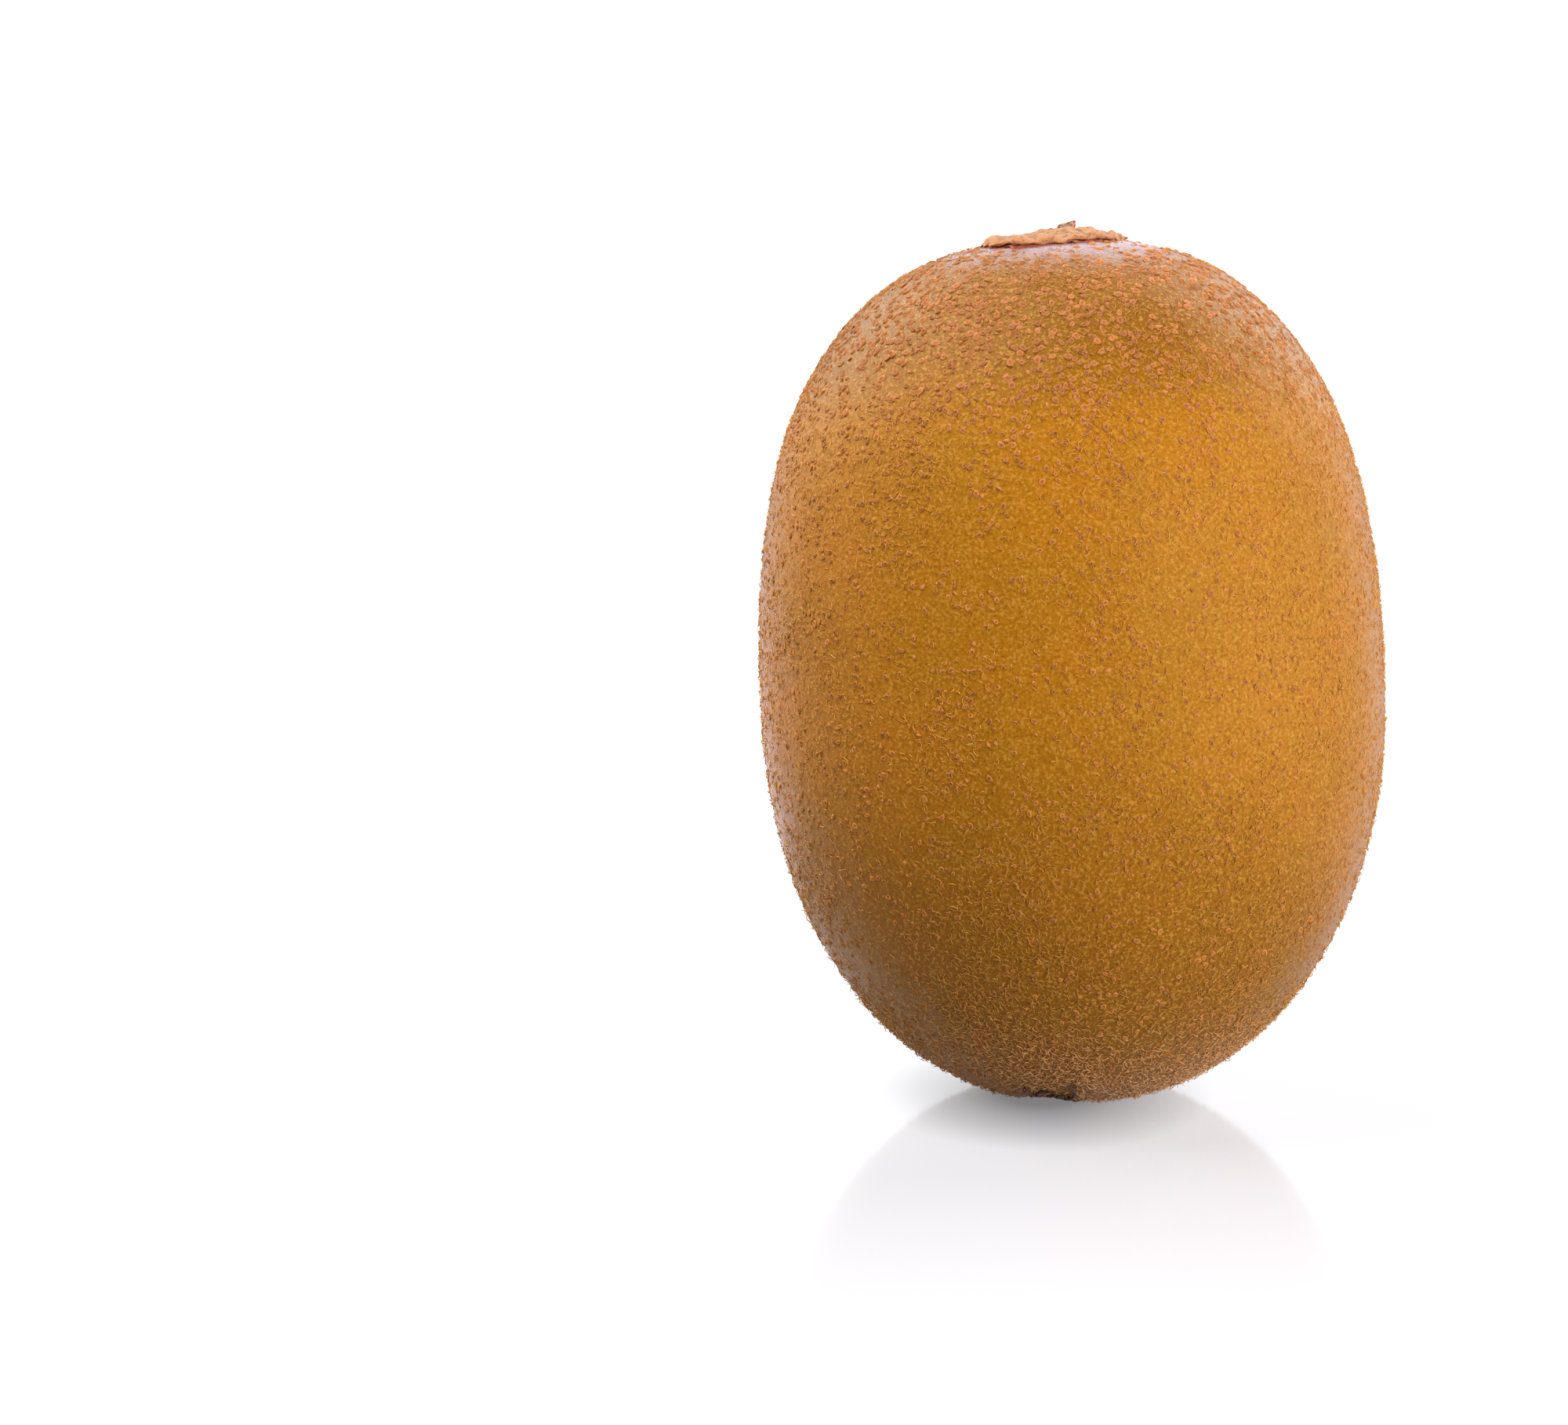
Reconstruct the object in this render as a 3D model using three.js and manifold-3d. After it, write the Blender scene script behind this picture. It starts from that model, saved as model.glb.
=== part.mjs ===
// A golden kiwi fruit that stands on its blossom end, leaning back a little as picked fruit does.
// Four pieces: the fruit with its warty skin, the dry calyx and the broken stalk on its stem end,
// and the tuft of dried styles on its blossom end.
//
// Millimetres, +Z up. The fruit rests on the plane z = 0, with the origin under the middle of it.
// Each piece is made in the fruit's own frame, whose z axis runs from the blossom end to the stem
// end and whose origin is the centre of the fruit's widest ring. One group then leans them all.

import * as THREE from "three";
import { mergeVertices } from "three/addons/utils/BufferGeometryUtils.js";
import Module from "manifold-3d";

const wasm = await Module();
wasm.setup();

// The fruit: a superellipsoid whose two halves differ in length and fullness (2 is an ellipse).
const fruitWidth = 50;
const fruitDepth = 47.6;
const stemHalf = { length: 36.2, fullness: 2.5 };
const blossomHalf = { length: 33, fullness: 2.13 };
const lobes = { count: 3, share: 0.006, phase: 0.6 };

// How it stands: the lean of its axis, and the place of its widest ring over the resting plane.
const leanBack = 7;
const leanLeft = 2.5;
const ringCentre = { x: -0.08, y: -0.24, z: 32.42 };

// The skin's warts, larger than life: one mesh point each, highest on the shoulder by the stem end.
const skinDetail = 21;
const wart = { low: 0.18, high: 0.34, shoulder: 0.35, jitter: 0.3 };
const wartFree = { stemEnd: 7.4, blossomEnd: 9 };

// Neighbouring pieces keep this gap.
const clearance = 0.3;

// The dimple in the blossom end, a little off the axis. It fades out before the cutter's edge.
const dimple = { x: -2.7, y: -3.8, depth: 0.85, spread: 1.9, edge: 3.3, rings: 6, segments: 24 };

// The dry calyx: five withered sepals grown together into a corky disc with lifted tips. The sepal
// at the front left is the longest.
const calyx = { radius: 5.45, rings: 10, segments: 60 };
const sepals = { count: 5, notch: 0.03, phase: 4.1, lift: 0.3, liftFrom: 0.7 };
const longSepal = { towards: -125, longer: 1.4, narrow: 3 };
const cork = { rim: 0.3, creases: 13, crease: 0.018, ridges: 15, ridge: 0.08 };

// The hump on the cork, where it is thickest, a little to the right of its middle.
const hump = { x: 1.5, y: -0.6, thickness: 0.8, top: 1.2, foot: 4.4 };

// The hollow in the cork, and the broken stalk that stands in it.
const hollow = { x: 0.85, y: -0.3, depth: 0.5, floor: 1.2, edge: 2.1 };
const stalk = { radius: 0.75, foot: 0.9, height: 0.45, sides: 12, ragged: 0.2, broken: 0.25 };

// The dried styles: a low core in the dimple, with threads that curl out over the dimple's edge.
const core = { radius: 1.15, height: 0.36, edgeShare: 0.5, rings: 3, segments: 18 };
const threads = { count: 15, root: 0.5, shortest: 1.1, longest: 5, uneven: 0.4 };
const thread = { radius: 0.15, sides: 3, steps: 8 };
const curl = { turn: 0.5, droop: 0.2, spacing: 0.6, shares: [0, 0.25, 0.5, 0.75, 1], droopFrom: 0.6 };

const seeds = { warts: 11, stalk: 8, styles: 23 };

const materials = {
  skin: new THREE.MeshStandardMaterial({ color: 0xb98238, roughness: 0.72, metalness: 0 }),
  calyx: new THREE.MeshStandardMaterial({ color: 0xa8703c, roughness: 0.9, metalness: 0 }),
  stalk: new THREE.MeshStandardMaterial({ color: 0x5a4638, roughness: 0.95, metalness: 0 }),
  styles: new THREE.MeshStandardMaterial({ color: 0x3a221a, roughness: 0.9, metalness: 0 }),
};

// A repeatable stream of numbers from 0 to 1.
function randomStream(seed) {
  let state = seed;
  return () => {
    state = (Math.imul(state, 1664525) + 1013904223) >>> 0;
    return state / 2 ** 32;
  };
}

// A geometry with only its positions, each shared point once.
function mergedPoints(geometry) {
  geometry.deleteAttribute("normal");
  geometry.deleteAttribute("uv");
  return mergeVertices(geometry, 1e-4);
}

function toSolid(geometry) {
  const merged = mergedPoints(geometry);
  const vertProperties = new Float32Array(merged.attributes.position.array);
  const triVerts = new Uint32Array(merged.index.array);
  return new wasm.Manifold(new wasm.Mesh({ numProp: 3, vertProperties, triVerts }));
}

function toGeometry(solid) {
  const mesh = solid.getMesh();
  const geometry = new THREE.BufferGeometry();
  geometry.setAttribute("position", new THREE.BufferAttribute(mesh.vertProperties, 3));
  geometry.setIndex(new THREE.BufferAttribute(mesh.triVerts, 1));
  geometry.computeVertexNormals();
  return geometry;
}

// How far a point (x, y) is from the axis, as a share of the fruit's half width there.
function shareOut(x, y) {
  return Math.hypot(x / (fruitWidth / 2), y / (fruitDepth / 2));
}

// The depth of the dimple at a distance from its middle.
function dimpleDepth(distance) {
  return dimple.depth * Math.exp(-((distance / dimple.spread) ** 2));
}

// The skin's point in the direction of the unit vector u.
function skinPoint(u) {
  const half = u.z > 0 ? stemHalf : blossomHalf;
  const around = Math.hypot(u.x, u.y);
  const reach = (around ** half.fullness + Math.abs(u.z) ** half.fullness) ** (-1 / half.fullness);
  const lobe = Math.cos(lobes.count * Math.atan2(u.y, u.x) + lobes.phase);
  const swell = reach * (1 + lobes.share * around ** 3 * lobe);
  const x = (u.x * swell * fruitWidth) / 2;
  const y = (u.y * swell * fruitDepth) / 2;
  return new THREE.Vector3(x, y, u.z * reach * half.length);
}

// The height of the skin at (x, y) on the stem end.
function stemEndHeight(x, y) {
  return stemHalf.length * (1 - shareOut(x, y) ** stemHalf.fullness) ** (1 / stemHalf.fullness);
}

// The height of the skin at (x, y) on the blossom end, with or without its dimple.
function blossomEndHeight(x, y, dimpled) {
  const share = (1 - shareOut(x, y) ** blossomHalf.fullness) ** (1 / blossomHalf.fullness);
  const sunk = dimpled ? dimpleDepth(Math.hypot(x - dimple.x, y - dimple.y)) : 0;
  return sunk - blossomHalf.length * share;
}

// The mesh points next to each mesh point.
function neighbourLists(geometry) {
  const lists = Array.from({ length: geometry.attributes.position.count }, () => new Set());
  const index = geometry.index.array;
  for (let i = 0; i < index.length; i += 3) {
    for (let k = 0; k < 3; k++) {
      lists[index[i + k]].add(index[i + ((k + 1) % 3)]);
      lists[index[i + k]].add(index[i + ((k + 2) % 3)]);
    }
  }
  return lists;
}

// Raises scattered points of the skin along its normals, no two of them next to each other.
function raiseWarts(geometry) {
  const random = randomStream(seeds.warts);
  const position = geometry.attributes.position;
  const normal = geometry.attributes.normal;
  const neighbours = neighbourLists(geometry);
  const order = [...neighbours.keys()].map((i) => [random(), i]).sort((a, b) => a[0] - b[0]);
  const raised = new Set();
  for (const [, i] of order) {
    const x = position.getX(i);
    const y = position.getY(i);
    const z = position.getZ(i);
    const free = z > 0 ? wartFree.stemEnd : wartFree.blossomEnd;
    const atAnEnd = Math.hypot(x, y) < free;
    if (atAnEnd || [...neighbours[i]].some((n) => raised.has(n))) continue;
    raised.add(i);
    const shoulder = THREE.MathUtils.smoothstep(z / stemHalf.length, wart.shoulder, 1);
    const height = THREE.MathUtils.lerp(wart.low, wart.high, shoulder) * (1 + wart.jitter * (random() - 0.5));
    position.setXYZ(i, x + height * normal.getX(i), y + height * normal.getY(i), z + height * normal.getZ(i));
  }
}

function leanMatrix() {
  const back = THREE.MathUtils.degToRad(-leanBack);
  const left = THREE.MathUtils.degToRad(-leanLeft);
  const matrix = new THREE.Matrix4().makeRotationFromEuler(new THREE.Euler(back, left, 0));
  return matrix.setPosition(ringCentre.x, ringCentre.y, ringCentre.z);
}

// The bowl whose top is the dimple's floor, which leaves the dimple when it is cut away.
function makeDimpleCutter() {
  const height = (share, angle, side) => {
    const x = dimple.x + share * dimple.edge * Math.cos(angle);
    const y = dimple.y + share * dimple.edge * Math.sin(angle);
    return side > 0 ? blossomEndHeight(x, y, true) : blossomEndHeight(x, y, false) - clearance;
  };
  const bowl = polarPlate(() => dimple.edge, height, dimple.rings, dimple.segments);
  return bowl.translate(dimple.x, dimple.y, 0);
}

// The fruit, with its dimple, cut flat where it rests on z = 0.
function makeFruit() {
  const geometry = mergedPoints(new THREE.IcosahedronGeometry(1, skinDetail));
  const position = geometry.attributes.position;
  for (let i = 0; i < position.count; i++) {
    const point = skinPoint(new THREE.Vector3().fromBufferAttribute(position, i).normalize());
    position.setXYZ(i, point.x, point.y, point.z);
  }
  geometry.computeVertexNormals();
  raiseWarts(geometry);
  const slab = new THREE.BoxGeometry(2 * fruitWidth, 2 * fruitWidth, fruitWidth);
  slab.translate(0, 0, -fruitWidth / 2).applyMatrix4(leanMatrix().invert());
  return toGeometry(toSolid(geometry).subtract(toSolid(makeDimpleCutter())).subtract(toSolid(slab)));
}

// A closed plate in polar rings: height(share, angle, side) gives its top (side 1) and underside (-1).
function polarPlate(radiusAt, height, rings, segments) {
  const plate = new THREE.SphereGeometry(1, segments, 2 * rings);
  const position = plate.attributes.position;
  for (let i = 0; i < position.count; i++) {
    const row = Math.floor(i / (segments + 1));
    const angle = (2 * Math.PI * (i % (segments + 1) % segments)) / segments;
    const side = row <= rings ? 1 : -1;
    const share = (side > 0 ? row : 2 * rings - row) / rings;
    const r = share * radiusAt(angle);
    const isRim = row === rings;
    const z = isRim ? (height(share, angle, 1) + height(share, angle, -1)) / 2 : height(share, angle, side);
    position.setXYZ(i, r * Math.cos(angle), r * Math.sin(angle), z);
  }
  return plate;
}

// 1 in the middle of a sepal and -1 in the notch between two.
function sepalWave(angle) {
  return Math.cos(sepals.count * angle + sepals.phase);
}

function calyxRadius(angle) {
  const creases = cork.crease * Math.cos(cork.creases * angle);
  const fromLong = Math.max(0, Math.cos(angle - THREE.MathUtils.degToRad(longSepal.towards)));
  const longer = longSepal.longer * fromLong ** longSepal.narrow;
  return calyx.radius * (1 + sepals.notch * sepalWave(angle) + creases) + longer;
}

// The cork's thickness at a share of the calyx's radius, less the hollow round the stalk.
function corkThickness(x, y, share, angle) {
  const { rim, ridges, ridge } = cork;
  const fromHump = Math.hypot(x - hump.x, y - hump.y);
  const down = THREE.MathUtils.smoothstep(fromHump, hump.top, hump.foot);
  const disc = THREE.MathUtils.lerp(hump.thickness, rim, down);
  const fromStalk = Math.hypot(x - hollow.x, y - hollow.y);
  const sunk = hollow.depth * (1 - THREE.MathUtils.smoothstep(fromStalk, hollow.floor, hollow.edge));
  return disc - sunk + ridge * share * Math.cos(ridges * angle);
}

// The calyx's top or underside at a share of its radius. Each sepal's tip lifts off the skin.
function calyxHeight(share, angle, side) {
  const x = share * calyxRadius(angle) * Math.cos(angle);
  const y = share * calyxRadius(angle) * Math.sin(angle);
  const tip = (THREE.MathUtils.smoothstep(share, sepals.liftFrom, 1) * (1 + sepalWave(angle))) / 2;
  const under = stemEndHeight(x, y) + clearance + sepals.lift * tip;
  return side > 0 ? under + corkThickness(x, y, share, angle) : under;
}

function makeCalyx() {
  return polarPlate(calyxRadius, calyxHeight, calyx.rings, calyx.segments);
}

// The stalk's stub: a wider foot, a straight side and a ragged broken top with a sunken middle.
function makeStalk() {
  const { radius, foot, height } = stalk;
  const outline = [
    [0, 0],
    [foot, 0],
    [foot, height * 0.15],
    [radius, height * 0.45],
    [radius, height * 0.85],
    [radius * 0.8, height],
    [0, height * 0.8],
  ].map(([r, z]) => new THREE.Vector2(r, z));
  const stub = mergedPoints(new THREE.LatheGeometry(outline, stalk.sides)).rotateX(Math.PI / 2);
  const random = randomStream(seeds.stalk);
  const position = stub.attributes.position;
  for (let i = 0; i < position.count; i++) {
    const across = 1 + stalk.ragged * (random() - 0.5);
    const up = THREE.MathUtils.smoothstep(position.getZ(i) / height, 0.5, 1) * stalk.broken * random();
    position.setXYZ(i, position.getX(i) * across, position.getY(i) * across, position.getZ(i) + up);
  }
  const base = stemEndHeight(hollow.x, hollow.y) + hump.thickness - hollow.depth + 2 * clearance;
  return stub.translate(hollow.x, hollow.y, base);
}

// One dried style: a thin thread that curls out of the core along the dimple and over its edge. Those
// at the front, towards -y, are the longest, because the fruit rests on the skin behind them.
function makeStyle(angle, random) {
  const front = (1 - Math.sin(angle)) / 2;
  const longer = front ** 2 * (1 - threads.uneven * random());
  const reach = THREE.MathUtils.lerp(threads.shortest, threads.longest, longer);
  const turn = curl.turn * (random() - 0.5);
  const droop = curl.droop * front * random();
  const points = curl.shares.map((share) => {
    const r = THREE.MathUtils.lerp(threads.root, reach, share);
    const x = dimple.x + r * Math.cos(angle + turn * share);
    const y = dimple.y + r * Math.sin(angle + turn * share);
    const off = clearance + thread.radius + droop * THREE.MathUtils.smoothstep(share, curl.droopFrom, 1);
    return new THREE.Vector3(x, y, blossomEndHeight(x, y, true) - off);
  });
  const corners = Array.from({ length: thread.sides }, (_, k) => (2 * Math.PI * k) / thread.sides);
  const section = new THREE.Shape(
    corners.map((a) => new THREE.Vector2(thread.radius * Math.cos(a), thread.radius * Math.sin(a))),
  );
  const extrudePath = new THREE.CatmullRomCurve3(points);
  return new THREE.ExtrudeGeometry(section, { steps: thread.steps, extrudePath, bevelEnabled: false });
}

function makeStyles() {
  const random = randomStream(seeds.styles);
  const height = (share, angle, side) => {
    const x = dimple.x + share * core.radius * Math.cos(angle);
    const y = dimple.y + share * core.radius * Math.sin(angle);
    const top = blossomEndHeight(x, y, true) - clearance;
    return side > 0 ? top : top - core.height * (1 - (1 - core.edgeShare) * share ** 2);
  };
  const plate = polarPlate(() => core.radius, height, core.rings, core.segments);
  let solid = toSolid(plate.translate(dimple.x, dimple.y, 0));
  for (let i = 0; i < threads.count; i++) {
    const angle = (2 * Math.PI * (i + curl.spacing * (random() - 0.5))) / threads.count;
    solid = solid.add(toSolid(makeStyle(angle, random)));
  }
  return toGeometry(solid);
}

function namedMesh(name, geometry, material) {
  const mesh = new THREE.Mesh(geometry, material);
  mesh.name = name;
  return mesh;
}

const leaning = new THREE.Group();
leaning.applyMatrix4(leanMatrix());
leaning.add(
  namedMesh("fruit", makeFruit(), materials.skin),
  namedMesh("calyx", makeCalyx(), materials.calyx),
  namedMesh("stalk_stub", makeStalk(), materials.stalk),
  namedMesh("dried_styles", makeStyles(), materials.styles),
);

const kiwi = new THREE.Group();
kiwi.add(leaning);

export default kiwi;
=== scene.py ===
import math

import bmesh
import bpy
import numpy as np
from mathutils import Matrix, Vector, noise


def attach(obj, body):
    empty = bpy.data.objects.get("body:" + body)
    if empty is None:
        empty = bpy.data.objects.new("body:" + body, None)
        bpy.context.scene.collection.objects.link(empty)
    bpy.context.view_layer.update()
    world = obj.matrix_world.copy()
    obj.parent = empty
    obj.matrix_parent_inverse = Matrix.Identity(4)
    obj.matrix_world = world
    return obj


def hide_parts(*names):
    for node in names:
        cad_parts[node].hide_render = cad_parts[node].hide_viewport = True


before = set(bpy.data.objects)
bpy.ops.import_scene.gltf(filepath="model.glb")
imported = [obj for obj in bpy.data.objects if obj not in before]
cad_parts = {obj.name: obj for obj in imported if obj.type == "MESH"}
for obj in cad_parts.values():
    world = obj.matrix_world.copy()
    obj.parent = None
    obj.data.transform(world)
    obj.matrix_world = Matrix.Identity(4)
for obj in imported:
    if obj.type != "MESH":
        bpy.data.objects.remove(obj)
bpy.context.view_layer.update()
scene = bpy.context.scene

# The fruit's body in metres, in its own frame: z runs from the blossom end to the stem end
fruitForm = {
    "width": 0.0500,
    "depth": 0.0476,
    "stemLength": 0.0362,
    "stemFullness": 2.5,
    "blossomLength": 0.0330,
    "blossomFullness": 2.13,
    "lobes": 3,
    "lobeShare": 0.006,
    "lobePhase": 0.6,
    "dimpleX": -0.0027,
    "dimpleY": -0.0038,
    "dimpleDepth": 0.00085,
    "dimpleSpread": 0.0019,
}

# The calyx in metres: withered sepals grown together into a corky disc, with a hollow for the stalk
calyxForm = {
    "radius": 0.00545, "sepals": 5, "notch": 0.03, "phase": 4.1, "creases": 13, "crease": 0.018,
    "longTowards": math.radians(-125), "longer": 0.0014, "narrow": 3,  # the longest sepal
    "lift": 0.0003, "liftFrom": 0.7, "liftTo": 0.9, "offSkin": 0.00022,
    "sideSag": 0.9,  # the part of its lift that is lost at the left and right edge
    "sideThin": 0.7,  # how fast its thickness is lost there, against its lift
    "rim": 0.00024, "ridges": 15, "ridge": 0.00006,
    "humpX": 0.0012, "humpY": -0.0006, "hump": 0.0008, "humpTop": 0.0012, "humpFoot": 0.0035,
    "hollowX": 0.00085, "hollowY": -0.0003, "hollowDepth": 0.0005,
    "hollowFloor": 0.0012, "hollowEdge": 0.0021,
}

studio = {
    "floorSize": 8.0,
    "floorLow": 0.00005,  # just under the fruit's flat spot
    "floorColour": (0.15, 0.148, 0.16, 1.0),
    "bounceLeft": 0.14, "bounceRight": 0.62,  # the part of the floor's light that reaches the fruit, less on the left: painted shade on the fruit's left side
    "bounceReach": 0.06,
    # The floor glows though it is no lamp: painted light that rises towards the front
    "floorGlow": 0.68,
    "glowColour": (0.985, 0.975, 1.0, 1.0),
    "frontGlow": 1.0,  # the floor's painted glow in front of the fruit, past the far edge of its reflection
    "glowFrom": -0.03, "glowTo": -0.11,
    "footShade": 0.3,  # painted shadow: the part of the glow left under the fruit's foot
    "shadeX": -0.002, "shadeY": -0.004, "shadeWide": 1.3, "shadeFull": 0.004, "shadeTo": 0.018,
    "floorRoughness": 0.1,
    "floorIor": 1.3,
    "floorGloss": 0.4,
    "surround": 1.35,  # what the camera and reflections see
    "ambient": 0.18,  # what lights the surfaces
}

# How the fruit stands: its lean in degrees, and the place of its widest ring
stance = {"leanBack": 7, "leanLeft": 2.5, "x": -0.00008, "y": -0.00024, "z": 0.03242}


def screenColour(red, green, blue):
    # A colour as it looks on screen, 0 to 255, as the linear one that shaders take
    shares = [c / 255 for c in (red, green, blue)]
    linear = [((c + 0.055) / 1.055) ** 2.4 if c > 0.04 else c / 12.92 for c in shares]
    return (*linear, 1.0)


def smooth(value, low, high):
    share = np.clip((value - low) / (high - low), 0, 1)
    return share * share * (3 - 2 * share)


def stood(points):
    # Points of the fruit's own frame, leaned and lifted to where the fruit stands
    back = Matrix.Rotation(math.radians(-stance["leanBack"]), 3, "X")
    left = Matrix.Rotation(math.radians(-stance["leanLeft"]), 3, "Y")
    return points @ np.array(back @ left).T + [stance["x"], stance["y"], stance["z"]]


def shareOut(x, y):
    return np.hypot(x / (fruitForm["width"] / 2), y / (fruitForm["depth"] / 2))


def fromDimple(x, y):
    return np.hypot(x - fruitForm["dimpleX"], y - fruitForm["dimpleY"])


def dimpleDepth(x, y):
    return fruitForm["dimpleDepth"] * np.exp(-((fromDimple(x, y) / fruitForm["dimpleSpread"]) ** 2))


def stemEndHeight(x, y):
    fullness = fruitForm["stemFullness"]
    return fruitForm["stemLength"] * (1 - shareOut(x, y) ** fullness) ** (1 / fullness)


def blossomEndHeight(x, y):
    fullness = fruitForm["blossomFullness"]
    share = (1 - shareOut(x, y) ** fullness) ** (1 / fullness)
    return dimpleDepth(x, y) - fruitForm["blossomLength"] * share


def skinPoints(directions):
    # Where rays from the fruit's middle meet the skin
    ux, uy, uz = directions.T
    up = uz > 0
    fullness = np.where(up, fruitForm["stemFullness"], fruitForm["blossomFullness"])
    length = np.where(up, fruitForm["stemLength"], fruitForm["blossomLength"])
    around = np.hypot(ux, uy)
    reach = (around**fullness + np.abs(uz) ** fullness) ** (-1 / fullness)
    lobe = np.cos(fruitForm["lobes"] * np.arctan2(uy, ux) + fruitForm["lobePhase"])
    swell = reach * (1 + fruitForm["lobeShare"] * around**3 * lobe)
    x = ux * swell * fruitForm["width"] / 2
    y = uy * swell * fruitForm["depth"] / 2
    z = uz * reach * length + np.where(up, 0, dimpleDepth(x, y))
    return np.stack([x, y, z], axis=1)


def meshOf(name, points, faces):
    mesh = bpy.data.meshes.new(name)
    mesh.from_pydata([tuple(p) for p in points], [], [tuple(f) for f in faces])
    mesh.update()
    mesh.shade_smooth()
    return mesh


def setShare(mesh, name, values):
    # A number for each point, which node trees and materials read by its name
    attribute = mesh.attributes.new(name, "FLOAT", "POINT")
    attribute.data.foreach_set("value", np.asarray(values, np.float32))


def coordinates(mesh):
    flat = np.empty(len(mesh.vertices) * 3, np.float32)
    mesh.vertices.foreach_get("co", flat)
    return flat.reshape(-1, 3).astype(float)


def sepalWave(angle):
    return np.cos(calyxForm["sepals"] * angle + calyxForm["phase"])


def calyxRadius(angle):
    form = calyxForm
    creases = form["crease"] * np.cos(form["creases"] * angle)
    fromLong = np.maximum(0, np.cos(angle - form["longTowards"]))
    longer = form["longer"] * fromLong ** form["narrow"]
    return form["radius"] * (1 + form["notch"] * sepalWave(angle) + creases) + longer


def noiseAt(points, size, shift=(0.0, 0.0, 0.0)):
    return np.array([noise.noise(Vector(p) / size + Vector(shift)) for p in points])


def addNode(tree, kind, inputs=None, **settings):
    # A node with its settings, and each input set to a value or linked to another node
    made = tree.nodes.new(kind)
    for key, value in settings.items():
        setattr(made, key, value)
    for key, value in (inputs or {}).items():
        if isinstance(value, bpy.types.NodeSocket):
            tree.links.new(value, made.inputs[key])
        else:
            made.inputs[key].default_value = value
    return made


def dress(piece, nodes=()):
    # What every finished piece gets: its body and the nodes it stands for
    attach(piece, "root")
    if nodes:
        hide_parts(*nodes)


def newMaterial(name, looks):
    # looks: socket name to value, for what is the same all over
    material = bpy.data.materials.new(name)
    material.use_nodes = True
    tree = material.node_tree
    tree.nodes.clear()
    shader = addNode(tree, "ShaderNodeBsdfPrincipled", looks)
    addNode(tree, "ShaderNodeOutputMaterial", {"Surface": shader.outputs[0]})
    where = addNode(tree, "ShaderNodeTexCoord").outputs["Object"]
    return material, tree, shader, where


def noiseNode(tree, where, size, detail=2.0, roughness=0.5):
    # size: how far apart the noise's spots are, in metres
    inputs = {"Vector": where, "Scale": 1 / size, "Detail": detail, "Roughness": roughness}
    return addNode(tree, "ShaderNodeTexNoise", inputs).outputs[0]


def rampNode(tree, share, stops):
    # stops: (place, colour) pairs from low to high
    ramp = addNode(tree, "ShaderNodeValToRGB", {0: share})
    elements = ramp.color_ramp.elements
    elements[0].position, elements[0].color = stops[0]
    elements[1].position, elements[1].color = stops[-1]
    for place, colour in stops[1:-1]:
        elements.new(place).color = colour
    return ramp.outputs[0]


def mixNode(tree, share, first, second, blend="MIX"):
    inputs = {0: share, 6: first, 7: second}
    return addNode(tree, "ShaderNodeMix", inputs, data_type="RGBA", blend_type=blend).outputs[2]


def mathNode(tree, operation, first, second=0.0):
    return addNode(tree, "ShaderNodeMath", {0: first, 1: second}, operation=operation).outputs[0]


def rangeNode(tree, value, low, high, least=0.0, most=1.0):
    inputs = {0: value, 1: low, 2: high, 3: least, 4: most}
    return addNode(tree, "ShaderNodeMapRange", inputs).outputs[0]


def shareNode(tree, name):
    return addNode(tree, "ShaderNodeAttribute", attribute_name=name).outputs["Fac"]


def brightenNode(tree, colour, factor):
    # colour times a number that changes over the surface
    grey = addNode(tree, "ShaderNodeCombineColor", {0: factor, 1: factor, 2: factor}).outputs[0]
    return mixNode(tree, 1.0, colour, grey, "MULTIPLY")


def bumpNode(tree, shader, height, distance):
    inputs = {"Height": height, "Distance": distance, "Strength": 1.0}
    tree.links.new(addNode(tree, "ShaderNodeBump", inputs).outputs[0], shader.inputs["Normal"])


skinFinish = {
    "golden": screenColour(182, 114, 12),
    "olive": screenColour(172, 112, 12),
    "amber": screenColour(188, 114, 16),
    # darker towards the bottom: partly the felt's own colour, partly painted shade
    "feltAndShade": screenColour(136, 86, 14),
    # a pale ring round the calyx: partly its own colour, partly painted sheen
    "bloomAndSheen": screenColour(177, 162, 180),
    "speckLight": screenColour(214, 154, 66),
    "speckDark": screenColour(126, 74, 14),
    "haze": (0.90, 0.84, 1.0, 1.0),
    "gleam": (1.0, 0.6, 0.25, 1.0),
    # painted shade: how much darker the skin is made on the shoulder
    "shoulderShade": 0.56,
    "blotchSize": 0.012,
    "mottleSize": 0.0012,
    "grainSize": 0.00026,
    "grainDepth": 0.00006,
}


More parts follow.
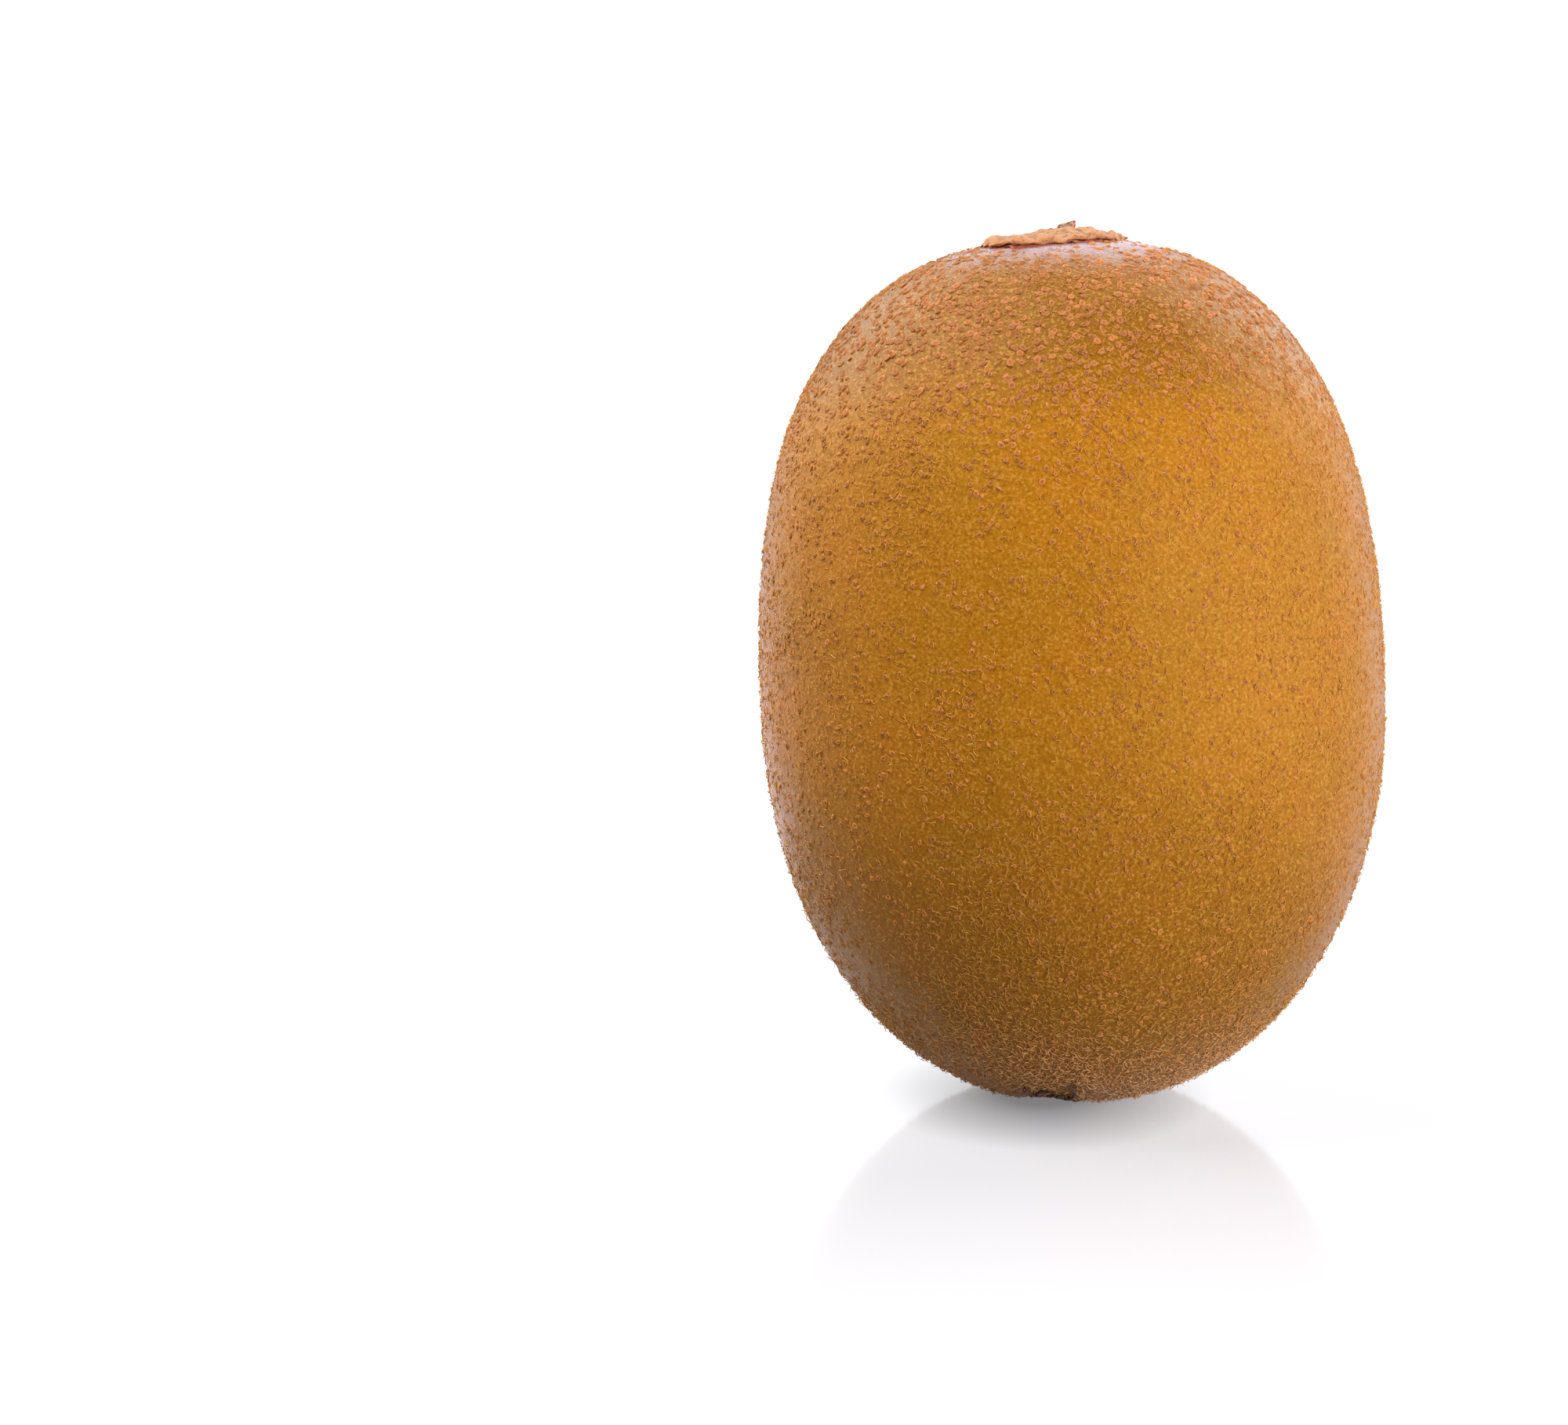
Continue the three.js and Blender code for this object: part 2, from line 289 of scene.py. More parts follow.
def makeSkinMaterial():
    looks = {
        "Roughness": 0.45, "Specular IOR Level": 0.3, "Specular Tint": skinFinish["gleam"],
        "Sheen Roughness": 0.27, "Sheen Tint": skinFinish["haze"],
    }
    material, tree, shader, where = newMaterial("goldenSkin", looks)
    blotch = noiseNode(tree, where, skinFinish["blotchSize"], 3.0)
    mottle = noiseNode(tree, where, skinFinish["mottleSize"], 3.0, 0.6)
    grain = noiseNode(tree, where, skinFinish["grainSize"], 3.0, 0.6)
    tones = [(0.3, skinFinish["olive"]), (0.5, skinFinish["golden"]), (0.7, skinFinish["amber"])]
    colour = rampNode(tree, blotch, tones)
    colour = mixNode(tree, rangeNode(tree, mottle, 0.35, 0.65, 0.0, 0.5), colour, skinFinish["olive"])
    # Darker towards the bottom: partly the felt's own colour, partly painted shade
    colour = mixNode(tree, shareNode(tree, "low"), colour, skinFinish["feltAndShade"])
    # Painted shade: the skin darker on the shoulder
    paintedShoulderShade = rangeNode(tree, shareNode(tree, "shoulder"), 0.5, 1.0, 1.0, skinFinish["shoulderShade"])
    colour = brightenNode(tree, colour, paintedShoulderShade)
    # The pale ring round the calyx: partly its own colour, partly painted sheen
    speckled = rangeNode(tree, mottle, 0.35, 0.65, 0.45, 1.0)
    bloomAndSheen = mathNode(tree, "MULTIPLY", shareNode(tree, "bloomAndSheen"), speckled)
    colour = mixNode(tree, bloomAndSheen, colour, skinFinish["bloomAndSheen"])
    colour = mixNode(tree, rangeNode(tree, grain, 0.52, 0.64, 0.0, 0.6), colour, skinFinish["speckLight"])
    colour = mixNode(tree, rangeNode(tree, grain, 0.46, 0.34, 0.0, 0.55), colour, skinFinish["speckDark"])
    tree.links.new(colour, shader.inputs["Base Color"])
    tree.links.new(shareNode(tree, "haze"), shader.inputs["Sheen Weight"])
    relief = mathNode(tree, "ADD", grain, mottle)
    bumpNode(tree, shader, relief, skinFinish["grainDepth"])
    return material


skinSet = {
    "cuts": 89,  # along each edge of the cube that is blown up to the skin
    "dentDepth": 0.00010,
    "dentSize": 0.0085,
    "rippleDepth": 0.00004,
    "rippleSize": 0.0019,
    "calmTo": 0.0045, "roughFrom": 0.0090,  # from the axis: no relief under calyx and styles
    "shoulderFrom": 0.0140, "shoulderTo": 0.0300,  # heights over the widest ring
    "lowFrom": 0.0020, "lowTo": -0.0300,
    "footFull": -0.0305, "footTo": -0.0230,
    "bloomTo": 0.0125, "bloomFull": 0.0065,  # from the axis
    "sidesFrom": 0.0150, "sidesTo": 0.0230,  # left and right of the middle
    "calyxLap": 0.0002, "dimpleEdge": 0.0022, "restClear": 0.00025,
    "patchSize": 0.009, "clumpSize": 0.0035, "patchAt": (3.1, 0.4, 7.7),
    "wartSwell": 0.32,  # how much larger warts are on the shoulder
    "hazeLowLoss": 0.9, "hazeShoulderLoss": 0.4,
}

# How dense warts and hairs are, as a part of their full density: everywhere, and what each region
# adds. Names that end in Loss say how much a region takes away
growth = {
    "warts": {
        "even": 0.27, "shoulder": 0.42, "lowLoss": 0.10, "clumps": 0.45, "least": 0.06, "bloomLoss": 0.75,
    },
    "curls": {"even": 0.1, "low": 0.5, "patches": 1.5, "least": 0.04},
    "fuzz": {
        "even": 0.26, "low": 0.35, "foot": 0.5, "sides": 0.5, "patches": 0.7,
        "least": 0.06, "bloomLoss": 0.8,
    },
}

# Zones of fuzz that pass into each other, as heights over the widest ring: from where a zone starts
# and is full, to where it starts to end and has ended
fuzzZones = {
    "topFuzz": (0.004, 0.014, 0.050, 0.060),
    "waistFuzz": (-0.012, -0.004, 0.004, 0.014),
    "lowFuzz": (-0.026, -0.020, -0.012, -0.004),
    "footFuzz": (-0.060, -0.050, -0.026, -0.020),
}


def blownCube(cuts):
    # A cube of even quads, with each point pushed out to the unit sphere
    shape = bmesh.new()
    bmesh.ops.create_cube(shape, size=2)
    bmesh.ops.subdivide_edges(shape, edges=shape.edges[:], cuts=cuts, use_grid_fill=True)
    for vertex in shape.verts:
        vertex.co = Vector([math.tan(c * math.pi / 4) for c in vertex.co]).normalized()
    mesh = bpy.data.meshes.new("skin")
    shape.to_mesh(mesh)
    shape.free()
    return mesh


def makeSkin():
    mesh = blownCube(skinSet["cuts"])
    points = skinPoints(coordinates(mesh))
    height = points[:, 2]
    away = np.hypot(points[:, 0], points[:, 1])
    relief = skinSet["dentDepth"] * noiseAt(points, skinSet["dentSize"])
    relief += skinSet["rippleDepth"] * noiseAt(points, skinSet["rippleSize"])
    relief *= smooth(away, skinSet["calmTo"], skinSet["roughFrom"])
    outward = points / np.linalg.norm(points, axis=1)[:, None]
    placed = stood(points + outward * relief[:, None])
    placed[:, 2] = np.maximum(placed[:, 2], 0)  # the flat spot it rests on
    mesh.vertices.foreach_set("co", placed.astype(np.float32).ravel())
    shoulder = smooth(height, skinSet["shoulderFrom"], skinSet["shoulderTo"])
    low = 1 - smooth(height, skinSet["lowTo"], skinSet["lowFrom"])
    patches = noiseAt(points, skinSet["patchSize"], skinSet["patchAt"])
    around = np.arctan2(points[:, 1], points[:, 0])
    underCalyx = (height > 0) & (away < calyxRadius(around) - skinSet["calyxLap"])
    inDimple = (height < 0) & (fromDimple(points[:, 0], points[:, 1]) < skinSet["dimpleEdge"])
    free = ~(underCalyx | inDimple | (placed[:, 2] < skinSet["restClear"]))
    setShare(mesh, "shoulder", shoulder)
    setShare(mesh, "low", low)
    clumps = noiseAt(points, skinSet["clumpSize"], skinSet["patchAt"])
    # the zone of the pale ring round the calyx, whose colour is partly painted sheen; warts and fuzz thin
    # out there
    bloomAndSheen = (height > 0) * (1 - smooth(away, skinSet["bloomFull"], skinSet["bloomTo"]))
    grow = growth["warts"]
    warty = grow["even"] + grow["shoulder"] * shoulder - grow["lowLoss"] * low + grow["clumps"] * clumps
    warty = np.clip(warty, grow["least"], 1)
    setShare(mesh, "wartShare", free * warty * (1 - grow["bloomLoss"] * bloomAndSheen))
    setShare(mesh, "wartSwell", skinSet["wartSwell"] * shoulder)
    setShare(mesh, "bloomAndSheen", bloomAndSheen)
    haze = (1 - skinSet["hazeLowLoss"] * low) * (1 - skinSet["hazeShoulderLoss"] * shoulder)
    setShare(mesh, "haze", haze)
    grow = growth["curls"]
    curly = grow["even"] + grow["low"] * low + grow["patches"] * patches
    setShare(mesh, "curlShare", free * np.clip(curly, grow["least"], 1))
    foot = 1 - smooth(height, skinSet["footFull"], skinSet["footTo"])
    sides = (1 - low) * smooth(np.abs(points[:, 0]), skinSet["sidesFrom"], skinSet["sidesTo"])
    grow = growth["fuzz"]
    fuzz = grow["even"] + grow["low"] * low + grow["foot"] * foot + grow["sides"] * sides
    fuzz = np.clip(fuzz + grow["patches"] * patches, grow["least"], 1)
    fuzz *= free * (1 - grow["bloomLoss"] * bloomAndSheen)
    setShare(mesh, "footHair", foot)
    for name, (lowTo, lowFull, highFull, highTo) in fuzzZones.items():
        inZone = smooth(height, lowTo, lowFull) * (1 - smooth(height, highFull, highTo))
        setShare(mesh, name + "Share", fuzz * inZone)
    mesh.shade_smooth()
    mesh.materials.append(makeSkinMaterial())
    skin = bpy.data.objects.new("skin", mesh)
    scene.collection.objects.link(skin)
    return skin


skin = makeSkin()
print("skin:", len(skin.data.polygons), "faces")


def makeStrewnTree():
    # Strews small shapes over a surface, stands them up on it and turns each its own way
    tree = bpy.data.node_groups.new("strewnShapes", "GeometryNodeTree")
    kinds = {
        "Surface": "Geometry", "Shapes": "Collection", "Share": "String", "Apart": "Float",
        "Density": "Float", "Seed": "Int", "Smallest": "Vector", "Largest": "Vector",
        "Swell": "String", "Tilt": "Float", "Finish": "Material",
    }
    for name, kind in kinds.items():
        tree.interface.new_socket(name, in_out="INPUT", socket_type="NodeSocket" + kind)
    tree.interface.new_socket("Strewn", in_out="OUTPUT", socket_type="NodeSocketGeometry")
    given = addNode(tree, "NodeGroupInput").outputs
    share = addNode(tree, "GeometryNodeInputNamedAttribute", {"Name": given["Share"]}, data_type="FLOAT")
    spots = addNode(tree, "GeometryNodeDistributePointsOnFaces", {
        "Mesh": given["Surface"], "Distance Min": given["Apart"], "Density Max": given["Density"],
        "Density Factor": share.outputs[0], "Seed": given["Seed"],
    }, distribute_method="POISSON")
    size = addNode(tree, "FunctionNodeRandomValue", {
        0: given["Smallest"], 1: given["Largest"], "Seed": 1,
    }, data_type="FLOAT_VECTOR")
    swell = addNode(tree, "GeometryNodeInputNamedAttribute", {"Name": given["Swell"]}, data_type="FLOAT")
    swollen = addNode(tree, "ShaderNodeVectorMath", {
        0: size.outputs[0], "Scale": mathNode(tree, "ADD", swell.outputs[0], 1.0),
    }, operation="SCALE")
    lean = addNode(tree, "ShaderNodeCombineXYZ", {0: given["Tilt"], 1: given["Tilt"], 2: math.tau})
    leanBack = addNode(tree, "ShaderNodeVectorMath", {
        0: lean.outputs[0], 1: (-1.0, -1.0, 0.0),
    }, operation="MULTIPLY")
    turn = addNode(tree, "FunctionNodeRandomValue", {
        0: leanBack.outputs[0], 1: lean.outputs[0], "Seed": 2,
    }, data_type="FLOAT_VECTOR")
    turned = addNode(tree, "FunctionNodeRotateRotation", {
        "Rotation": spots.outputs["Rotation"],
        "Rotate By": addNode(tree, "FunctionNodeEulerToRotation", {0: turn.outputs[0]}).outputs[0],
    }, rotation_space="LOCAL")
    shapes = addNode(tree, "GeometryNodeCollectionInfo", {
        "Collection": given["Shapes"], "Separate Children": True, "Reset Children": True,
    })
    which = addNode(tree, "FunctionNodeRandomValue", {4: 0, 5: 1000, "Seed": 3}, data_type="INT")
    placed = addNode(tree, "GeometryNodeInstanceOnPoints", {
        "Points": spots.outputs["Points"], "Instance": shapes.outputs[0], "Pick Instance": True,
        "Instance Index": which.outputs[2], "Rotation": turned.outputs[0], "Scale": swollen.outputs[0],
    })
    tone = addNode(tree, "FunctionNodeRandomValue", {2: 0.0, 3: 1.0, "Seed": 4}, data_type="FLOAT")
    toned = addNode(tree, "GeometryNodeStoreNamedAttribute", {
        "Geometry": placed.outputs[0], "Name": "tone", "Value": tone.outputs[1],
    }, data_type="FLOAT", domain="INSTANCE")
    real = addNode(tree, "GeometryNodeRealizeInstances", {"Geometry": toned.outputs[0]})
    painted = addNode(tree, "GeometryNodeSetMaterial", {
        "Geometry": real.outputs[0], "Material": given["Finish"],
    })
    addNode(tree, "NodeGroupOutput", {0: painted.outputs[0]})
    return tree


strewnTree = makeStrewnTree()


def strew(name, surface, shapes, inputs):
    # Runs the tree on a stand-in of the surface and keeps the result as a plain mesh
    holder = bpy.data.collections.new(name + "Shapes")
    for shape in shapes:
        holder.objects.link(shape)
    carrier = bpy.data.objects.new(name + "Carrier", surface.data)
    scene.collection.objects.link(carrier)
    modifier = carrier.modifiers.new("strewn", "NODES")
    modifier.node_group = strewnTree
    for item in strewnTree.interface.items_tree:
        if item.name in inputs:
            modifier[item.identifier] = inputs[item.name]
        elif item.name == "Shapes":
            modifier[item.identifier] = holder
    evaluated = carrier.evaluated_get(bpy.context.evaluated_depsgraph_get())
    mesh = bpy.data.meshes.new_from_object(evaluated)
    mesh.name = name
    mesh.materials.pop(index=0)  # the empty slot of the bare shapes
    points = coordinates(mesh)
    points[:, 2] = np.maximum(points[:, 2], 0)  # pressed flat by what the fruit rests on
    mesh.vertices.foreach_set("co", points.astype(np.float32).ravel())
    mesh.shade_smooth()
    bpy.data.objects.remove(carrier)
    for shape in shapes:
        bpy.data.objects.remove(shape)
    bpy.data.collections.remove(holder)
    piece = bpy.data.objects.new(name, mesh)
    scene.collection.objects.link(piece)
    print(name + ":", sum(len(p.vertices) - 2 for p in mesh.polygons), "triangles")
    return piece


wartFinish = {
    # painted shade round each wart's foot
    "foot": screenColour(168, 102, 26),
    "centre": screenColour(170, 95, 34),
    "rim": screenColour(205, 137, 66),
    "haze": (1.0, 0.80, 0.66, 1.0),
    "shoulderCentre": screenColour(164, 92, 42),
    "shoulderRim": screenColour(200, 131, 74),
    "grainSize": 0.00018,
    "grainDepth": 0.00003,
}


def makeWartMaterial():
    looks = {
        "Roughness": 0.7, "Specular IOR Level": 0.2,
        "Sheen Weight": 0.5, "Sheen Roughness": 0.27, "Sheen Tint": wartFinish["haze"],
    }
    material, tree, shader, where = newMaterial("corkyWart", looks)
    crest = shareNode(tree, "crest")
    grain = noiseNode(tree, where, wartFinish["grainSize"])
    # The foot colour is painted shade round each wart's foot
    body = rampNode(tree, crest, [
        (0.0, wartFinish["foot"]), (0.3, wartFinish["centre"]),
        (0.45, wartFinish["centre"]), (0.9, wartFinish["rim"]),
    ])
    top = rampNode(tree, crest, [
        (0.0, wartFinish["foot"]), (0.3, wartFinish["shoulderCentre"]), (1.0, wartFinish["shoulderRim"]),
    ])
    colour = mixNode(tree, shareNode(tree, "shoulder"), body, top)
    shade = mathNode(tree, "ADD", shareNode(tree, "tone"), grain)
    colour = brightenNode(tree, colour, rangeNode(tree, shade, 0.4, 1.6, 0.75, 1.2))
    tree.links.new(colour, shader.inputs["Base Color"])
    bumpNode(tree, shader, grain, wartFinish["grainDepth"])
    return material


# Rings of a wart from its foot up: radius, height and crest, which paints the raised rim
wartSet = {
    "crater": [(1.0, -0.30, 0.4), (0.72, 0.60, 1.0), (0.34, 0.34, 0.4), (0.0, 0.20, 0.3)],
    "bowl": [(1.0, -0.30, 0.5), (0.80, 0.50, 1.0), (0.50, 0.30, 0.6), (0.0, 0.10, 0.3)],
    "dome": [(1.0, -0.30, 0.2), (0.76, 0.42, 0.7), (0.36, 0.74, 1.0), (0.0, 0.78, 0.8)],
    "mix": {"crater": 4, "bowl": 4, "dome": 1},
    "sides": 6,
    "uneven": 0.8,
    "seed": 3,
    "strewing": {
        "Share": "wartShare", "Swell": "wartSwell", "Apart": 0.00048, "Density": 4.0e6, "Seed": 4,
        "Smallest": (0.00015, 0.00015, 0.00008), "Largest": (0.00037, 0.00027, 0.00017), "Tilt": 0.2,
    },
}


def ringShape(name, rings, random):
    # A cap of rings of points, open underneath, with each point shifted its own way
    sides = wartSet["sides"]
    turns = np.arange(sides) * math.tau / sides
    points = []
    for radius, height, _ in rings[:-1]:
        for turn in turns:
            r = radius * (1 + wartSet["uneven"] * (random.random() - 0.5))
            h = height * (1 + wartSet["uneven"] * (random.random() - 0.5))
            points.append((r * math.cos(turn), r * math.sin(turn), h))
    points.append((0, 0, rings[-1][1]))
    faces = []
    for ring in range(len(rings) - 2):
        for i in range(sides):
            low, j = ring * sides, (i + 1) % sides
            faces.append((low + i, low + j, low + sides + j, low + sides + i))
    last = (len(rings) - 2) * sides
    faces += [(last + i, last + (i + 1) % sides, last + sides) for i in range(sides)]
    mesh = meshOf(name, points, faces)
    crests = [crest for _, _, crest in rings[:-1] for _ in turns] + [rings[-1][2]]
    setShare(mesh, "crest", crests)
    return bpy.data.objects.new(name, mesh)


def makeWarts():
    random = np.random.default_rng(wartSet["seed"])
    shapes = [
        ringShape(f"{kind}{i}", wartSet[kind], random)
        for kind, count in wartSet["mix"].items() for i in range(count)
    ]
    inputs = {**wartSet["strewing"], "Finish": makeWartMaterial()}
    return strew("warts", skin, shapes, inputs)


warts = makeWarts()

hairFinish = {
    "root": screenColour(206, 142, 50),
    "middle": screenColour(230, 168, 78),
    "tip": screenColour(246, 198, 116),
    "rusty": screenColour(212, 134, 62),
    "foot": screenColour(250, 188, 134),
    # painted shade: how much darker the hairs are made on the shoulder
    "shoulderShade": 0.75,
    # painted shade: how much darker the hairs are made towards the bottom
    "lowShade": 0.82,
}


def makeHairMaterial():
    looks = {"Roughness": 0.45, "Specular IOR Level": 0.25, "Specular Tint": skinFinish["gleam"]}
    material, tree, shader, _ = newMaterial("tanHair", looks)
    along = shareNode(tree, "along")
    colour = rampNode(tree, along, [
        (0.0, hairFinish["root"]), (0.4, hairFinish["middle"]), (1.0, hairFinish["tip"]),
    ])
    rusty = rangeNode(tree, shareNode(tree, "tone"), 0.4, 1.0, 0.0, 0.8)
    colour = mixNode(tree, rusty, colour, hairFinish["rusty"])
    foot = mathNode(tree, "MULTIPLY", shareNode(tree, "footHair"), 0.8)
    colour = mixNode(tree, foot, colour, hairFinish["foot"])
    # Painted shade: the hairs darker on the shoulder
    paintedShoulderShade = rangeNode(tree, shareNode(tree, "shoulder"), 0.5, 1.0, 1.0, hairFinish["shoulderShade"])
    colour = brightenNode(tree, colour, paintedShoulderShade)
    # Painted shade: the hairs darker towards the bottom
    lowShade = rangeNode(tree, shareNode(tree, "low"), 0.0, 1.0, 1.0, hairFinish["lowShade"])
    colour = brightenNode(tree, colour, lowShade)
    tree.links.new(colour, shader.inputs["Base Color"])
    return material


hairMaterial = makeHairMaterial()

# Every hair is a tube that loses this part of its radius by its tip, and whose root sits this part
# of its length deep in the skin
hairForm = {"sides": 3, "taper": 0.45, "rootDepth": 0.02}

# Hairs of unit length, scaled where they are strewn. The radius is the one at the root, and bends
# are turns over the length, in radians
hairSet = {
    "curls": {
        "shapes": 10, "steps": 5, "radius": 0.046, "bend": 3.8, "swing": 2.0, "rise": 0.2, "seed": 21,
        "strewing": {
            "Share": "curlShare", "Apart": 0.00027, "Density": 2.2e6, "Seed": 8,
            "Smallest": (0.0006, 0.0006, 0.0006), "Largest": (0.0012, 0.0012, 0.0012), "Tilt": 0.12,
        },
    },
    "topFuzz": {
        "shapes": 6, "steps": 3, "radius": 0.075, "bend": 1.6, "swing": 1.2, "rise": 0.26, "seed": 22,
        "strewing": {
            "Share": "topFuzzShare", "Apart": 0.00018, "Density": 7.5e6, "Seed": 9,
            "Smallest": (0.00030, 0.00030, 0.00030), "Largest": (0.00065, 0.00065, 0.00065), "Tilt": 0.3,
        },
    },
    "waistFuzz": {
        "shapes": 6, "steps": 3, "radius": 0.07, "bend": 2.0, "swing": 1.6, "rise": 0.26, "seed": 23,
        "strewing": {
            "Share": "waistFuzzShare", "Apart": 0.00018, "Density": 8.0e6, "Seed": 10,
            "Smallest": (0.00030, 0.00030, 0.00030), "Largest": (0.00075, 0.00075, 0.00075), "Tilt": 0.3,
        },
    },
    "lowFuzz": {
        "shapes": 8, "steps": 3, "radius": 0.065, "bend": 2.4, "swing": 2.0, "rise": 0.28, "seed": 24,
        "strewing": {
            "Share": "lowFuzzShare", "Apart": 0.00019, "Density": 8.0e6, "Seed": 11,
            "Smallest": (0.00035, 0.00035, 0.00035), "Largest": (0.00080, 0.00080, 0.00080), "Tilt": 0.35,
        },
    },
    "footFuzz": {
        "shapes": 8, "steps": 3, "radius": 0.06, "bend": 2.4, "swing": 2.0, "rise": 0.34, "seed": 25,
        "strewing": {
            "Share": "footFuzzShare", "Apart": 0.00014, "Density": 1.2e7, "Seed": 12,
            "Smallest": (0.00040, 0.00040, 0.00040), "Largest": (0.00095, 0.00095, 0.00095), "Tilt": 0.45,
        },
    },
}


def hairShape(name, look, random):
    # A tube along a curl that rises from the skin, closed to a point at its tip
    steps, sides = look["steps"], hairForm["sides"]
    shares = np.linspace(0, 1, steps + 1)
    bend = look["bend"] * random.uniform(0.4, 1) * random.choice([-1, 1])
    swing = look["swing"] * random.uniform(-1, 1)
    heading = bend * shares + swing * np.sin(shares * math.pi * random.uniform(0.8, 1.6))
    x = np.concatenate([[0], np.cumsum(np.cos(heading[:-1]))]) / steps
    y = np.concatenate([[0], np.cumsum(np.sin(heading[:-1]))]) / steps
    rise = look["rise"] * random.uniform(0.4, 1)
    z = rise * np.sin(shares * math.pi * random.uniform(0.5, 0.9)) - hairForm["rootDepth"]
    points, along = [], []
    for i, share in enumerate(shares[:-1]):
        radius = look["radius"] * (1 - hairForm["taper"] * share)
        for side in range(sides):
            angle = math.tau * side / sides + math.pi / 2
            across = radius * math.cos(angle)
            points.append((
                x[i] - across * math.sin(heading[i]), y[i] + across * math.cos(heading[i]),
                z[i] + radius * math.sin(angle),
            ))
            along.append(share)
    points.append((x[-1], y[-1], z[-1]))
    along.append(1)
    faces = []
    for i in range(steps - 1):
        for side in range(sides):
            a, b = sides * i + side, sides * i + (side + 1) % sides
            faces.append((a, a + sides, b + sides, b))
    last = sides * (steps - 1)
    faces += [(last + side, last + sides, last + (side + 1) % sides) for side in range(sides)]
    mesh = meshOf(name, points, faces)
    setShare(mesh, "along", along)
    return bpy.data.objects.new(name, mesh)


def makeHairs(name):
    look = hairSet[name]
    random = np.random.default_rng(look["seed"])
    shapes = [hairShape(f"{name}{i}", look, random) for i in range(look["shapes"])]
    return strew(name, skin, shapes, {**look["strewing"], "Finish": hairMaterial})


hairs = [makeHairs(name) for name in hairSet]

# Rings of the calyx from its middle out over the lip, into the gap and back under the lower ring:
# share of the radius, and level, where 0 is the skin, 1 the lip's underside and 2 its top
calyxSet = {
    "topRings": 34,
    "lipRings": [(1.0, 1.85), (1.02, 1.5), (1.02, 1.15), (1.005, 0.85), (0.97, 0.72), (0.90, 0.70)],
    "lowRings": [(0.90, 0.5), (0.94, 0.46), (0.985, 0.42), (1.0, 0.25), (0.995, 0.0), (0.95, -0.3)],
    "segments": 200,
    "crumple": 0.00024, "crumpleSize": 0.0010,
    "fine": 0.00016, "fineSize": 0.00042,
    "frayed": 0.0005,  # how far the edge is pushed in and out
    "fibreWide": 0.14, "fibreBend": 0.4,  # streaks from the stalk outward, as parts of the radius
    "lipFrom": 0.9,  # the part of the radius where the lip starts
    "lowRingTo": 0.48, "gapTo": 0.71, "lipLevel": 0.7,  # levels
}

calyxFinish = {
    "cork": screenColour(194, 138, 90),
    "lip": screenColour(192, 128, 78),
    "oldCork": screenColour(150, 98, 60),
    "crack": screenColour(104, 60, 34),
    "lowRing": screenColour(196, 104, 76),
    "shadow": screenColour(58, 24, 20),
    "fibreSize": 0.00055,
    "grainSize": 0.0002,
    "grainDepth": 0.00006,
}


def makeCalyxMaterial():
    looks = {"Roughness": 0.75, "Specular IOR Level": 0.25, "Sheen Weight": 0.15}
    material, tree, shader, where = newMaterial("driedSepals", looks)
    fibres = noiseNode(tree, where, calyxFinish["fibreSize"], 4.0, 0.65)
    grain = noiseNode(tree, where, calyxFinish["grainSize"])
    streaks = rangeNode(tree, shareNode(tree, "fibre"), 0.1, -0.4, 0.0, 0.65)
    cork = mixNode(tree, streaks, calyxFinish["cork"], calyxFinish["oldCork"])
    cracks = rangeNode(tree, fibres, 0.50, 0.34, 0.0, 0.75)
    cork = mixNode(tree, cracks, cork, calyxFinish["crack"])
    lip = mixNode(tree, rangeNode(tree, grain, 0.4, 0.7, 0.0, 0.5), calyxFinish["lip"], calyxFinish["cork"])
    lip = mixNode(tree, rangeNode(tree, fibres, 0.46, 0.36, 0.0, 0.9), lip, calyxFinish["crack"])
    colour = mixNode(tree, shareNode(tree, "lip"), cork, lip)
    colour = mixNode(tree, shareNode(tree, "lowRing"), colour, calyxFinish["lowRing"])
    colour = mixNode(tree, shareNode(tree, "gap"), colour, calyxFinish["shadow"])
    tree.links.new(colour, shader.inputs["Base Color"])
    bumpNode(tree, shader, mathNode(tree, "ADD", fibres, grain), calyxFinish["grainDepth"])
    return material


def calyxPoints(share, level, angle):
    form = calyxForm
    radius = share * calyxRadius(angle)
    x, y = radius * np.cos(angle), radius * np.sin(angle)
    atSide = form["sideSag"] * smooth(share, form["liftTo"], 1) * np.cos(angle) ** 4
    tip = smooth(share, form["liftFrom"], form["liftTo"]) * (1 + sepalWave(angle)) / 2
    under = (form["offSkin"] + form["lift"] * tip) * (1 - atSide)
    fromHump = np.hypot(x - form["humpX"], y - form["humpY"])
    disc = form["hump"] + (form["rim"] - form["hump"]) * smooth(fromHump, form["humpTop"], form["humpFoot"])
    fromStalk = np.hypot(x - form["hollowX"], y - form["hollowY"])
    sunk = form["hollowDepth"] * (1 - smooth(fromStalk, form["hollowFloor"], form["hollowEdge"]))
    ridged = disc + form["ridge"] * share * np.cos(form["ridges"] * angle)
    thick = ridged * (1 - form["sideThin"] * atSide) - sunk
    z = stemEndHeight(x, y) + np.minimum(level, 1) * under + np.maximum(level - 1, 0) * thick
    return np.stack([x, y, z], axis=-1)


def capped(name, rings):
    # A closed skin over rings of points, whose first and last ring each shrink to one point
    count, segments = rings.shape[:2]
    points = np.concatenate([rings[0, :1], rings[1:-1].reshape(-1, 3), rings[-1, :1]])
    last = len(points) - 1
    faces = []
    for i in range(segments):
        j = (i + 1) % segments
        faces.append((0, 1 + i, 1 + j))
        for ring in range(count - 3):
            low, high = 1 + ring * segments, 1 + (ring + 1) * segments
            faces.append((low + j, low + i, high + i, high + j))
        under = 1 + (count - 3) * segments
        faces.append((last, under + j, under + i))
    mesh = meshOf(name, points, faces)
    piece = bpy.data.objects.new(name, mesh)
    scene.collection.objects.link(piece)
    return piece


def spread(values, segments):
    # One value for each ring, given to each point of a capped skin
    return [values[0]] + [v for v in values[1:-1] for _ in range(segments)] + [values[-1]]


